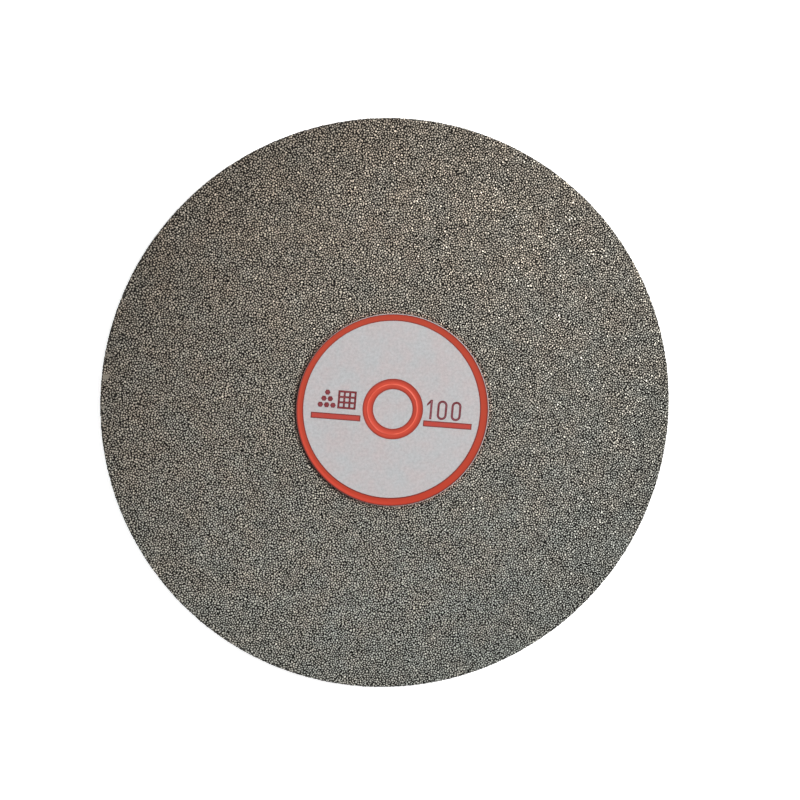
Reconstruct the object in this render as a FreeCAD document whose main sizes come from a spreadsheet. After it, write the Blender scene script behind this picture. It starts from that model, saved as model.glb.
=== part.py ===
"""Diamond grinding wheel: a flat electroplated lap disc with a round paper label over its arbor hole.

Millimetres. +Z is the spindle axis and points out of the diamond face. The origin is the centre of
the arbor hole on the back face, so the wheel lies on Z = 0.

From the back to the front the wheel is a stack of thin layers: nickel flash, steel blank, nickel bond,
diamond grit, label adhesive, label paper. The label's printing is let into the top of the paper.
"""

import FreeCAD
import Part
import math
import os

import Sketcher

DIMENSIONS = [
    # alias, value, what it is
    ("wheel_radius", 75.0, "outside radius, over the grit on the rim"),
    ("arbor_radius", 6.35, "finished arbor hole, half an inch across"),
    ("blank_thickness", 1.0, "steel blank"),
    ("blank_round", 0.2, "rounded outer edges of the stamped blank"),
    ("flash_thickness", 0.03, "nickel flash on the back, the rim and the hole"),
    ("bond_thickness", 0.08, "nickel that holds the grit"),
    ("grit_height", 0.06, "diamond that stands out of the bond"),
    ("rim_wrap", 0.6, "how far bond and grit come down the rim"),
    ("adhesive_thickness", 0.03, "glue under the label"),
    ("paper_thickness", 0.1, "label paper, printing included"),
    ("ink_depth", 0.02, "printed ink, flush with the paper"),
    ("label_radius", 25.4, "die-cut label"),
    ("label_across", 0.14, "label centre off the axis, along X"),
    ("label_along", -0.4, "label centre off the axis, along Y"),
    ("label_tilt", -5.15, "printing turned about Z, in degrees"),
    ("border_radius", 23.3, "inside of the printed border"),
    ("border_across", -0.12, "border centre off the axis, along X"),
    ("border_along", -0.21, "border centre off the axis, along Y"),
    ("ring_outer", 8.0, "outside of the printed ring round the hole"),
    ("ring_inner", 5.2, "inside of the printed ring round the hole"),
    ("bar_length", 13.0, "underline, end to end"),
    ("bar_width", 1.6, "underline, across"),
    ("bar_offset", 14.8, "axis to the middle of an underline"),
    ("bar_drop", 3.1, "how far an underline lies below the axis"),
    ("symbol_height", 4.8, "height of a pictogram"),
    ("symbol_rise", 1.45, "middle of the pictograms above the axis"),
    ("symbol_stroke", 0.55, "line width of the sieve"),
    ("grains_offset", 17.4, "axis to the middle of the grain pictogram"),
    ("sieve_offset", 12.2, "axis to the middle of the sieve pictogram"),
    ("grain_size", 1.5, "one printed grain, point to point"),
    ("numeral_height", 5.15, "height of a numeral"),
    ("numeral_rise", 0.7, "middle of the numerals above the axis"),
    ("numeral_stroke", 0.6, "line width of the numerals"),
    ("numeral_width", 2.65, "width of a nought"),
    ("one_offset", 10.1, "axis to the stem of the one"),
    ("nought_offset", 13.05, "axis to the middle of the first nought"),
    ("nought_pitch", 3.75, "from nought to nought"),
]

# Names for sums of dimensions, as expressions on the sheet
STEEL_BACK = "Sizes.flash_thickness"
STEEL_FRONT = f"{STEEL_BACK} + Sizes.blank_thickness"
BOND_FRONT = f"{STEEL_FRONT} + Sizes.bond_thickness"
GRIT_FRONT = f"{BOND_FRONT} + Sizes.grit_height"
GLUE_FRONT = f"{GRIT_FRONT} + Sizes.adhesive_thickness"
LABEL_FRONT = f"{GLUE_FRONT} + Sizes.paper_thickness"
INK_BACK = f"{LABEL_FRONT} - Sizes.ink_depth"
BOND_RIM = "Sizes.wheel_radius - Sizes.grit_height"
FLASH_RIM = f"{BOND_RIM} - Sizes.bond_thickness"
STEEL_RIM = f"{FLASH_RIM} - Sizes.flash_thickness"
STEEL_BORE = "Sizes.arbor_radius + Sizes.flash_thickness"
ROUND_CENTRE = f"{STEEL_RIM} - Sizes.blank_round"
ROUND_BACK = f"{STEEL_BACK} + Sizes.blank_round"
ROUND_FRONT = f"{STEEL_FRONT} - Sizes.blank_round"
PLATED_ROUND = f"{ROUND_FRONT} - Sizes.flash_thickness"
WRAP_END = f"{STEEL_FRONT} - Sizes.rim_wrap"

doc = FreeCAD.newDocument("diamond_grinding_wheel")


def make_sheet():
    """The spreadsheet of driving dimensions."""
    sheet = doc.addObject("Spreadsheet::Sheet", "Sizes")
    for row, (alias, value, meaning) in enumerate(DIMENSIONS, start=1):
        sheet.set(f"A{row}", meaning)
        sheet.set(f"B{row}", str(value))
        sheet.setAlias(f"B{row}", alias)
    doc.recompute()
    return sheet


sizes = make_sheet()


def number(expression):
    """What an expression on the sheet comes to."""
    return float(sizes.evalExpression(expression))


def vector(across, up):
    """A point of a sketch from two expressions."""
    return FreeCAD.Vector(number(across), number(up), 0)


def arc_between(start, end, centre):
    """The arc from start to end about centre, the short way round; a half circle runs anticlockwise."""
    spoke = start - centre
    begin = math.atan2(spoke.y, spoke.x)
    sweep = (math.atan2(end.y - centre.y, end.x - centre.x) - begin) % math.tau
    if sweep > math.pi + 1e-6:
        sweep -= math.tau
    halfway = begin + sweep / 2
    middle = centre + FreeCAD.Vector(math.cos(halfway), math.sin(halfway), 0) * spoke.Length
    return Part.Arc(start, middle, end)


def bind(sketch, kind, geometry, vertex, expression):
    """Ties one coordinate of a sketch's vertex to an expression on the sheet."""
    value = number(expression)
    index = sketch.addConstraint(Sketcher.Constraint(kind, -1, 1, geometry, vertex, value))
    sketch.setExpression(f"Constraints[{index}]", expression)


def draw_loop(sketch, corners):
    """A closed loop of lines and arcs. A corner is (across, up) or (across, up, centre of its arc),
    where the arc is the side that arrives at the corner."""
    points = [vector(corner[0], corner[1]) for corner in corners]
    ends = []
    for here, corner in enumerate(corners):
        start, end = points[here - 1], points[here]
        if len(corner) == 3:
            side = arc_between(start, end, vector(*corner[2]))
        else:
            side = Part.LineSegment(start, end)
        geometry = sketch.addGeometry(side)
        starts_first = sketch.getPoint(geometry, 1).distanceToPoint(start) < 1e-4
        ends.append((geometry, 1, 2) if starts_first else (geometry, 2, 1))
        if len(corner) == 3:
            bind(sketch, "DistanceY", geometry, 3, corner[2][1])
    for here, corner in enumerate(corners):
        geometry, _, last = ends[here]
        following, first, _ = ends[(here + 1) % len(ends)]
        sketch.addConstraint(Sketcher.Constraint("Coincident", geometry, last, following, first))
        bind(sketch, "DistanceX", geometry, last, corner[0])
        bind(sketch, "DistanceY", geometry, last, corner[1])


def draw_circle(sketch, radius, across="0", up="0"):
    """A circle tied to the sheet."""
    geometry = sketch.addGeometry(Part.Circle(vector(across, up), FreeCAD.Vector(0, 0, 1), number(radius)))
    index = sketch.addConstraint(Sketcher.Constraint("Radius", geometry, number(radius)))
    sketch.setExpression(f"Constraints[{index}]", radius)
    bind(sketch, "DistanceX", geometry, 3, across)
    bind(sketch, "DistanceY", geometry, 3, up)


def new_body(name):
    """An empty body whose label is the sub-part's name."""
    body = doc.addObject("PartDesign::Body", name)
    body.Label = name
    return body


def sketch_on(body, role):
    """A sketch on one of the body's own origin planes."""
    sketch = body.newObject("Sketcher::SketchObject", f"{body.Name}_sketch")
    plane = next(item for item in body.Origin.OriginFeatures if item.Role == role)
    sketch.AttachmentSupport = [(plane, "")]
    sketch.MapMode = "FlatFace"
    return sketch


def turned(name, corners):
    """A body of revolution about the spindle axis; corners are (radius, height) pairs."""
    body = new_body(name)
    sketch = sketch_on(body, "XZ_Plane")
    draw_loop(sketch, corners)
    revolution = body.newObject("PartDesign::Revolution", f"{name}_revolution")
    revolution.Profile = sketch
    revolution.ReferenceAxis = (sketch, ["V_Axis"])
    revolution.Angle = 360
    body.Tip = revolution
    return body


def padded(body, sketch, thickness):
    """Pads the sketch upwards by an expression."""
    pad = body.newObject("PartDesign::Pad", f"{body.Name}_pad")
    pad.Profile = sketch
    pad.setExpression("Length", thickness)
    body.Tip = pad
    return pad


def round_rims(body, pad, radius):
    """Rounds the pad's two outer edges."""
    doc.recompute()
    widest = max(edge.Curve.Radius for edge in pad.Shape.Edges if isinstance(edge.Curve, Part.Circle))
    names = []
    for index, edge in enumerate(pad.Shape.Edges, start=1):
        if isinstance(edge.Curve, Part.Circle) and edge.Curve.Radius > widest - 1e-6:
            names.append(f"Edge{index}")
    fillet = body.newObject("PartDesign::Fillet", f"{body.Name}_fillet")
    fillet.Base = (pad, names)
    fillet.setExpression("Radius", radius)
    body.Tip = fillet


def place(item, height, across="0", along="0", tilt="0"):
    """Ties a sub-part's placement to the sheet."""
    item.setExpression("Placement.Base.x", across)
    item.setExpression("Placement.Base.y", along)
    item.setExpression("Placement.Base.z", height)
    item.setExpression("Placement.Rotation.Axis.z", "1")
    item.setExpression("Placement.Rotation.Angle", tilt)


def make_steel_blank():
    """The stamped steel disc that everything else is plated on."""
    body = new_body("steel_blank")
    sketch = sketch_on(body, "XY_Plane")
    draw_circle(sketch, STEEL_RIM)
    draw_circle(sketch, STEEL_BORE)
    pad = padded(body, sketch, "Sizes.blank_thickness")
    round_rims(body, pad, "Sizes.blank_round")
    place(body, STEEL_BACK)
    return body


def make_nickel_flash():
    """Thin nickel over the back, the rim and the wall of the hole."""
    return turned(
        "nickel_flash",
        [
            ("Sizes.arbor_radius", "0"),
            (ROUND_CENTRE, "0"),
            (FLASH_RIM, ROUND_BACK, (ROUND_CENTRE, ROUND_BACK)),
            (FLASH_RIM, ROUND_FRONT),
            (STEEL_RIM, ROUND_FRONT),
            (STEEL_RIM, ROUND_BACK),
            (ROUND_CENTRE, STEEL_BACK, (ROUND_CENTRE, ROUND_BACK)),
            (STEEL_BORE, STEEL_BACK),
            (STEEL_BORE, GRIT_FRONT),
            ("Sizes.arbor_radius", GRIT_FRONT),
        ],
    )


def make_nickel_bond():
    """The nickel that buries the feet of the grit: the whole face and the front of the rim."""
    return turned(
        "nickel_bond",
        [
            (STEEL_BORE, STEEL_FRONT),
            (ROUND_CENTRE, STEEL_FRONT),
            (STEEL_RIM, ROUND_FRONT, (ROUND_CENTRE, ROUND_FRONT)),
            (FLASH_RIM, ROUND_FRONT),
            (FLASH_RIM, WRAP_END),
            (BOND_RIM, WRAP_END),
            (BOND_RIM, PLATED_ROUND),
            (ROUND_CENTRE, BOND_FRONT, (ROUND_CENTRE, PLATED_ROUND)),
            (STEEL_BORE, BOND_FRONT),
        ],
    )


def make_diamond_grit():
    """The single layer of crystals, as the closed layer that their points reach up to."""
    return turned(
        "diamond_grit",
        [
            (STEEL_BORE, BOND_FRONT),
            (ROUND_CENTRE, BOND_FRONT),
            (BOND_RIM, PLATED_ROUND, (ROUND_CENTRE, PLATED_ROUND)),
            (BOND_RIM, WRAP_END),
            ("Sizes.wheel_radius", WRAP_END),
            ("Sizes.wheel_radius", PLATED_ROUND),
            (ROUND_CENTRE, GRIT_FRONT, (ROUND_CENTRE, PLATED_ROUND)),
            (STEEL_BORE, GRIT_FRONT),
        ],
    )


def make_label_disc(name, thickness, height):
    """A disc of the die-cut label's outline."""
    body = new_body(name)
    sketch = sketch_on(body, "XY_Plane")
    draw_circle(sketch, "Sizes.label_radius")
    padded(body, sketch, thickness)
    place(body, height, "Sizes.label_across", "Sizes.label_along")
    return body


def printed(name, loops=(), circles=()):
    """Ink of one printed feature, flush with the top of the paper and turned with the printing."""
    sketch = doc.addObject("Sketcher::SketchObject", f"{name}_sketch")
    for corners in loops:
        draw_loop(sketch, corners)
    for circle in circles:
        draw_circle(sketch, *circle)
    ink = doc.addObject("Part::Extrusion", name)
    ink.Label = name
    ink.Base = sketch
    ink.DirMode = "Custom"
    ink.Dir = FreeCAD.Vector(0, 0, 1)
    ink.Solid = True
    ink.setExpression("LengthFwd", "Sizes.ink_depth")
    return ink


def rectangle(across, up, width, height):
    """The loop of a rectangle about its middle, from four expressions."""
    left, right = f"{across} - ({width}) / 2", f"{across} + ({width}) / 2"
    low, high = f"{up} - ({height}) / 2", f"{up} + ({height}) / 2"
    return [(left, low), (right, low), (right, high), (left, high)]


def hexagon(across, up, size):
    """The loop of a six-sided grain that is size wide from point to point."""
    corners = []
    for corner in range(6):
        turn = corner * math.tau / 6
        over, above = math.cos(turn) / 2, math.sin(turn) / 2
        corners.append((f"{across} + ({over:.6f}) * {size}", f"{up} + ({above:.6f}) * {size}"))
    return corners


def stadium(across, up, width, height):
    """The loop of an upright nought: two straight sides and two half circles."""
    left, right = f"{across} - ({width}) / 2", f"{across} + ({width}) / 2"
    low = f"{up} - ({height}) / 2 + ({width}) / 2"
    high = f"{up} + ({height}) / 2 - ({width}) / 2"
    return [
        (left, low),
        (right, low, (across, low)),
        (right, high),
        (left, high, (across, high)),
    ]


def make_border_ring():
    """The printed band round the label's edge, a little off centre to the die cut."""
    circles = [
        ("Sizes.label_radius", "Sizes.label_across", "Sizes.label_along"),
        ("Sizes.border_radius", "Sizes.border_across", "Sizes.border_along"),
    ]
    ink = printed("label_border_ring", circles=circles)
    place(ink, INK_BACK)
    return ink


def make_arbor_ring():
    """The printed ring round the arbor hole."""
    ink = printed("label_arbor_ring", circles=[("Sizes.ring_outer",), ("Sizes.ring_inner",)])
    place(ink, INK_BACK)
    return ink


def make_underlines():
    """A bar each side of the ring."""
    loops = []
    for side in ("-", ""):
        loops.append(
            rectangle(f"{side}Sizes.bar_offset", "-Sizes.bar_drop", "Sizes.bar_length", "Sizes.bar_width")
        )
    ink = printed("label_underlines", loops)
    place(ink, INK_BACK, tilt="Sizes.label_tilt")
    return ink


def make_grain_symbol():
    """A heap of grains: rows of three, two and one."""
    step = "(Sizes.symbol_height - Sizes.grain_size) / 2"
    loops = []
    for row, count in enumerate((3, 2, 1)):
        up = f"Sizes.symbol_rise + ({row - 1}) * {step}"
        for column in range(count):
            across = f"-Sizes.grains_offset + ({column - (count - 1) / 2}) * {step}"
            loops.append(hexagon(across, up, "Sizes.grain_size"))
    ink = printed("label_grain_symbol", loops)
    place(ink, INK_BACK, tilt="Sizes.label_tilt")
    return ink


def make_sieve_symbol():
    """A square sieve with three by three openings."""
    middle = ("-Sizes.sieve_offset", "Sizes.symbol_rise")
    step = "(Sizes.symbol_height - Sizes.symbol_stroke) / 3"
    opening = f"{step} - Sizes.symbol_stroke"
    loops = [rectangle(*middle, "Sizes.symbol_height", "Sizes.symbol_height")]
    for row in (-1, 0, 1):
        for column in (-1, 0, 1):
            across = f"{middle[0]} + ({column}) * {step}"
            up = f"{middle[1]} + ({row}) * {step}"
            loops.append(rectangle(across, up, opening, opening))
    ink = printed("label_sieve_symbol", loops)
    place(ink, INK_BACK, tilt="Sizes.label_tilt")
    return ink


def make_grit_number():
    """A grit number of a one and two noughts, rubber-stamped in a second ink."""
    half = "Sizes.numeral_height / 2"
    stroke = "Sizes.numeral_stroke"
    stem = f"Sizes.one_offset + {stroke} / 2"
    flag = f"Sizes.one_offset - {stroke} * 2"
    one = [
        (f"Sizes.one_offset - {stroke} / 2", f"Sizes.numeral_rise - {half}"),
        (stem, f"Sizes.numeral_rise - {half}"),
        (stem, f"Sizes.numeral_rise + {half}"),
        (f"Sizes.one_offset - {stroke} / 2", f"Sizes.numeral_rise + {half}"),
        (flag, f"Sizes.numeral_rise + {half} - {stroke} * 2"),
        (flag, f"Sizes.numeral_rise + {half} - {stroke} * 3"),
        (f"Sizes.one_offset - {stroke} / 2", f"Sizes.numeral_rise + {half} - {stroke} * 1.5"),
    ]
    loops = [one]
    for place_in_row in (0, 1):
        across = f"Sizes.nought_offset + {place_in_row} * Sizes.nought_pitch"
        for inset in ("0", f"2 * {stroke}"):
            width = f"Sizes.numeral_width - {inset}"
            height = f"Sizes.numeral_height - {inset}"
            loops.append(stadium(across, "Sizes.numeral_rise", width, height))
    ink = printed("label_grit_number", loops)
    place(ink, INK_BACK, tilt="Sizes.label_tilt")
    return ink


def make_label_paper(inks):
    """The paper, with a shallow bed for each printed feature."""
    disc = make_label_disc("paper_disc", "Sizes.paper_thickness", GLUE_FRONT)
    printing = doc.addObject("Part::MultiFuse", "printing")
    printing.Shapes = inks
    paper = doc.addObject("Part::Cut", "label_paper")
    paper.Label = "label_paper"
    paper.Base = disc
    paper.Tool = printing
    return paper


def check_document(subparts):
    """Stops if an object failed or a sub-part has no valid solid."""
    for item in doc.Objects:
        if "Invalid" in item.State or "Error" in item.State:
            raise RuntimeError(f"{item.Name} failed: {item.State}")
    for item in subparts:
        if item.Shape.isNull() or not item.Shape.isValid() or not item.Shape.Solids:
            raise RuntimeError(f"{item.Label} has no valid solid")


def main():
    inks = [
        make_border_ring(),
        make_arbor_ring(),
        make_underlines(),
        make_grain_symbol(),
        make_sieve_symbol(),
        make_grit_number(),
    ]
    subparts = [
        make_steel_blank(),
        make_nickel_flash(),
        make_nickel_bond(),
        make_diamond_grit(),
        make_label_disc("label_adhesive", "Sizes.adhesive_thickness", GRIT_FRONT),
        make_label_paper(inks),
        *inks,
    ]
    doc.recompute()
    check_document(subparts)
    os.makedirs("parts", exist_ok=True)
    for item in subparts:
        item.Shape.exportStep(f"parts/{item.Label}.step")
        box = item.Shape.BoundBox
        print(f"{item.Label}: {item.Shape.Volume:.3f} mm3, {len(item.Shape.Solids)} solid(s),",
              f"z {box.ZMin:.3f} to {box.ZMax:.3f}, width {box.XLength:.3f}")


main()
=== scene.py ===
"""Looks of the diamond grinding wheel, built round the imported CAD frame.

Lengths below are in millimetres and become metres where a mesh is made. Every piece rides on the one
rigid body. The plated face is a closed relief of faceted crystals, the label is a thin sheet that dips
into the arbor hole, and the printing is thin films that follow the sheet.
"""

import math

import bpy
import numpy as np
from mathutils import Matrix, Vector, noise
from mathutils.geometry import delaunay_2d_cdt


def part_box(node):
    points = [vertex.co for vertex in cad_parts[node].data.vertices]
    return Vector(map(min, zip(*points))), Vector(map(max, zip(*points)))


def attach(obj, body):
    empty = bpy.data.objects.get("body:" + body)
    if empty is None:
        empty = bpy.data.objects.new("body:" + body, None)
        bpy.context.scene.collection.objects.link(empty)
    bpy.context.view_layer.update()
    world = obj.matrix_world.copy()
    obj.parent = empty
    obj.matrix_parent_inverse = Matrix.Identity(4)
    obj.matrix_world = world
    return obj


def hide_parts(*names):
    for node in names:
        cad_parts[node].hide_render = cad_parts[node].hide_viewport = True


MM = 0.001
SEED = 2024

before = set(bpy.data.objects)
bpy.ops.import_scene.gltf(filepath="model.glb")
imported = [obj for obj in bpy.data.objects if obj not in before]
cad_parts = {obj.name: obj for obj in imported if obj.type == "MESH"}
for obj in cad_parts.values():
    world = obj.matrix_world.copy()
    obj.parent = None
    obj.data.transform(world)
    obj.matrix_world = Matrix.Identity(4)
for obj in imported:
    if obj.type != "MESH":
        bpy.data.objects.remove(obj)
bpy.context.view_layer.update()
rng = np.random.default_rng(SEED)


# ---------------------------------------------------------------- sizes from the frame

def box_mm(node):
    """A node's lowest and highest corners, in millimetres."""
    low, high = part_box(node)
    return np.array(low) / MM, np.array(high) / MM


def middle_and_radius(node):
    """Centre across and along, and the radius, of a round node."""
    low, high = box_mm(node)
    return (low[:2] + high[:2]) / 2, (high[0] - low[0] + high[1] - low[1]) / 4


BORE_RADIUS = 6.35
WHEEL_RADIUS = box_mm("diamond_grit")[1][0]
BOND_RADIUS = box_mm("nickel_bond")[1][0]
FLASH_RADIUS = box_mm("nickel_flash")[1][0]
STEEL_RADIUS = box_mm("steel_blank")[1][0]
WRAP_END = box_mm("diamond_grit")[0][2]
STEEL_BACK = box_mm("steel_blank")[0][2]
STEEL_FRONT = box_mm("steel_blank")[1][2]
BOND_FRONT = box_mm("nickel_bond")[1][2]
GRIT_FRONT = box_mm("diamond_grit")[1][2]
GLUE_BACK, GLUE_FRONT = (corner[2] for corner in box_mm("label_adhesive"))
PAPER_FRONT = box_mm("label_paper")[1][2]
LABEL_MIDDLE, LABEL_RADIUS = middle_and_radius("label_paper")
EDGE_ROUND = 0.2
MOUTH = 0.12  # broken edge at the back of the arbor hole


# ---------------------------------------------------------------- camera, lights, floor

CAMERA_AIM = (2.04, 2.26, 0.0)
CAMERA_DISTANCE = 306.3
CAMERA_AZIMUTH, CAMERA_ELEVATION = -129.1, 81.36  # degrees
CAMERA_LENS = 52.37
FLOOR_HALF = 20000.0
FLOOR_DROP = 0.05  # below the wheel's back
FLOOR_GLOW = 0.62


def add_camera():
    """The camera, almost straight above the wheel, with +Y up in the picture."""
    aim = Vector(CAMERA_AIM) * MM
    azimuth, elevation = math.radians(CAMERA_AZIMUTH), math.radians(CAMERA_ELEVATION)
    back = Vector((
        math.cos(elevation) * math.sin(azimuth),
        -math.cos(elevation) * math.cos(azimuth),
        math.sin(elevation),
    ))
    right = Vector((0, 1, 0)).cross(back).normalized()
    up = back.cross(right)
    data = bpy.data.cameras.new("camera")
    data.lens = CAMERA_LENS
    data.sensor_width = 36.0
    data.clip_start = 0.01
    camera = bpy.data.objects.new("camera", data)
    turn = Matrix((right, up, back)).transposed().to_4x4()
    camera.matrix_world = Matrix.Translation(aim + back * (CAMERA_DISTANCE * MM)) @ turn
    bpy.context.scene.collection.objects.link(camera)
    bpy.context.scene.camera = camera


def add_area_light(name, place, power, size, colour):
    """A square soft box that faces the wheel. Its place and size are in metres, its power in watts."""
    data = bpy.data.lights.new(name, "AREA")
    data.energy = power
    data.size = size
    data.color = colour
    light = bpy.data.objects.new(name, data)
    light.location = place
    light.rotation_euler = Vector(place).to_track_quat("Z", "Y").to_euler()
    bpy.context.scene.collection.objects.link(light)


def add_world():
    """A pale studio: bright at the horizon and darker overhead."""
    world = bpy.data.worlds.new("studio")
    bpy.context.scene.world = world
    world.use_nodes = True
    tree = world.node_tree
    tree.nodes.clear()
    place = tree.nodes.new("ShaderNodeTexCoord")
    split = tree.nodes.new("ShaderNodeSeparateXYZ")
    ramp = tree.nodes.new("ShaderNodeValToRGB")
    background = tree.nodes.new("ShaderNodeBackground")
    output = tree.nodes.new("ShaderNodeOutputWorld")
    ramp.color_ramp.elements[0].color = (0.80, 0.80, 0.80, 1)
    ramp.color_ramp.elements[1].color = (0.16, 0.16, 0.16, 1)
    ramp.color_ramp.elements[0].position = 0.15
    ramp.color_ramp.elements[1].position = 0.9
    tree.links.new(place.outputs["Generated"], split.inputs[0])
    tree.links.new(split.outputs["Z"], ramp.inputs[0])
    tree.links.new(ramp.outputs[0], background.inputs["Color"])
    tree.links.new(background.outputs[0], output.inputs[0])


def add_floor():
    """A plain pale floor just under the wheel. It glows like a product table, so shadows stay faint."""
    half = FLOOR_HALF * MM
    mesh = bpy.data.meshes.new("floor")
    corners = [(-half, -half, 0), (half, -half, 0), (half, half, 0), (-half, half, 0)]
    mesh.from_pydata(corners, [], [(0, 1, 2, 3)])
    floor = bpy.data.objects.new("floor", mesh)
    floor.location.z = -FLOOR_DROP * MM
    bpy.context.scene.collection.objects.link(floor)
    material, shader = new_material("floor")
    shader.inputs["Base Color"].default_value = (0.85, 0.85, 0.85, 1)
    shader.inputs["Emission Color"].default_value = (1, 1, 1, 1)
    shader.inputs["Emission Strength"].default_value = FLOOR_GLOW
    shader.inputs["Roughness"].default_value = 0.9
    shader.inputs["Specular IOR Level"].default_value = 0.0
    mesh.materials.append(material)


# ---------------------------------------------------------------- node helpers

def new_material(name):
    """A material and its Principled shader."""
    material = bpy.data.materials.new(name)
    material.use_nodes = True
    return material, material.node_tree.nodes["Principled BSDF"]


class Nodes:
    """Short calls for building one material's node tree."""

    def __init__(self, name):
        self.material, self.shader = new_material(name)
        self.tree = self.material.node_tree
        self.place = self.tree.nodes.new("ShaderNodeNewGeometry").outputs["Position"]

    def link(self, source, target):
        """Links an output socket to an input socket."""
        self.tree.links.new(source, target)

    def feed(self, value, target):
        """Links a socket, or sets a plain value."""
        if isinstance(value, bpy.types.NodeSocket):
            self.link(value, target)
        else:
            target.default_value = value

    def attribute(self, name):
        """A number stored on the mesh's faces or points."""
        node = self.tree.nodes.new("ShaderNodeAttribute")
        node.attribute_name = name
        return node.outputs["Fac"]

    def noise(self, size_mm, detail=2.0, roughness=0.5, stretch=None):
        """Noise whose features are about size_mm across."""
        node = self.tree.nodes.new("ShaderNodeTexNoise")
        node.inputs["Scale"].default_value = 1.0 / (size_mm * MM)
        node.inputs["Detail"].default_value = detail
        node.inputs["Roughness"].default_value = roughness
        place = self.place
        if stretch:
            mapping = self.tree.nodes.new("ShaderNodeMapping")
            mapping.inputs["Scale"].default_value = stretch
            self.link(place, mapping.inputs["Vector"])
            place = mapping.outputs[0]
        self.link(place, node.inputs["Vector"])
        return node.outputs["Fac"]

    def maths(self, operation, first, second=0.0, third=0.0):
        """One sum on up to three numbers."""
        node = self.tree.nodes.new("ShaderNodeMath")
        node.operation = operation
        self.feed(first, node.inputs[0])
        self.feed(second, node.inputs[1])
        self.feed(third, node.inputs[2])
        return node.outputs[0]

    def span(self, value, low, high, start=0.0, end=1.0):
        """Maps value from start..end to low..high, held at the ends."""
        node = self.tree.nodes.new("ShaderNodeMapRange")
        self.feed(value, node.inputs["Value"])
        node.inputs["From Min"].default_value = start
        node.inputs["From Max"].default_value = end
        node.inputs["To Min"].default_value = low
        node.inputs["To Max"].default_value = high
        return node.outputs["Result"]

    def mix(self, share, first, second, blend="MIX"):
        """A mix of two colours."""
        node = self.tree.nodes.new("ShaderNodeMix")
        node.data_type = "RGBA"
        node.blend_type = blend
        self.feed(share, node.inputs["Factor"])
        self.feed(first, node.inputs["A"])
        self.feed(second, node.inputs["B"])
        return node.outputs["Result"]

    def scaled(self, colour, share):
        """A colour made brighter or darker by a number."""
        node = self.tree.nodes.new("ShaderNodeVectorMath")
        node.operation = "SCALE"
        self.feed(colour, node.inputs[0])
        self.feed(share, node.inputs["Scale"])
        return node.outputs[0]

    def radius(self, middle=(0.0, 0.0)):
        """Distance in millimetres from an upright line, the spindle axis unless another is given."""
        flat = self.tree.nodes.new("ShaderNodeVectorMath")
        flat.operation = "MULTIPLY_ADD"
        self.link(self.place, flat.inputs[0])
        flat.inputs[1].default_value = (1 / MM, 1 / MM, 0)
        flat.inputs[2].default_value = (-middle[0], -middle[1], 0)
        node = self.tree.nodes.new("ShaderNodeVectorMath")
        node.operation = "LENGTH"
        self.link(flat.outputs[0], node.inputs[0])
        return node.outputs["Value"]

    def across(self, direction):
        """How far a point lies along a direction in the wheel's plane, -1 to 1 at the rim."""
        node = self.tree.nodes.new("ShaderNodeVectorMath")
        node.operation = "DOT_PRODUCT"
        self.link(self.place, node.inputs[0])
        reach = WHEEL_RADIUS * MM
        node.inputs[1].default_value = (direction[0] / reach, direction[1] / reach, 0)
        return node.outputs["Value"]

    def bump(self, height, strength, distance_mm):
        """Fine relief on the surface, from a height of 0 to 1."""
        node = self.tree.nodes.new("ShaderNodeBump")
        node.inputs["Strength"].default_value = strength
        node.inputs["Distance"].default_value = distance_mm * MM
        self.link(height, node.inputs["Height"])
        self.link(node.outputs[0], self.shader.inputs["Normal"])

    def finish(self, colour, roughness, metallic=0.0, specular=0.5):
        """Feeds the shader and returns the material."""
        self.feed(colour, self.shader.inputs["Base Color"])
        self.feed(roughness, self.shader.inputs["Roughness"])
        self.feed(metallic, self.shader.inputs["Metallic"])
        self.shader.inputs["Specular IOR Level"].default_value = specular
        return self.material


# ---------------------------------------------------------------- materials

COOL_CRYSTAL, WARM_CRYSTAL = (0.242, 0.252, 0.233, 1), (0.291, 0.250, 0.204, 1)
PAINTED_LABEL_BOUNCE = (0.33, 0.19, 0.14, 1)  # painted reflection: red light bounced from the label onto the crystals beside it
BOUNCE_WIDTH = 1.2


def grit_material():
    """Faceted crystals in nickel: each facet has its own brightness, in soft warm and cool drifts, under
    painted light and shade that darkens the face toward its upper left and its rim and lightens it toward
    the bottom. The crystals' sides are painted almost black as shade, and those beside the label carry a
    painted red reflection from it.
    """
    n = Nodes("diamond_grit")
    tone = n.attribute("tone")
    coated = n.attribute("coated")
    lean = n.span(n.across((-0.42, 0.91)), 0.0, 1.0, -1.2, 1.2)
    warmth = n.maths("ADD", lean, n.span(n.noise(7.0), -0.2, 0.2, 0.3, 0.7))
    colour = n.mix(warmth, COOL_CRYSTAL, WARM_CRYSTAL)
    # painted reflection: crystals near the label are tinted toward its red
    painted_bounce = n.span(n.radius(LABEL_MIDDLE), 0.6, 0.0, LABEL_RADIUS, LABEL_RADIUS + BOUNCE_WIDTH)
    colour = n.mix(painted_bounce, colour, PAINTED_LABEL_BOUNCE)
    # painted light and shade: darker toward the upper left and toward the rim, lighter toward the bottom
    for painted_falloff in (
        n.span(n.across((-0.8, 0.55)), 1.07, 0.88, 0.4, 1.0),
        n.span(n.across((0.0, -1.0)), 1.0, 1.12, 0.1, 0.8),
        n.span(n.radius(), 1.0, 0.88, 55.0, WHEEL_RADIUS),
    ):
        colour = n.scaled(colour, painted_falloff)
    colour = n.scaled(colour, n.span(tone, 0.0, 2.38))
    n.bump(n.noise(0.06, 3.0), 0.35, 0.02)
    return n.finish(colour, n.span(tone, 0.6, 0.5), n.span(coated, 0.3, 0.5), specular=0.15)


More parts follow.
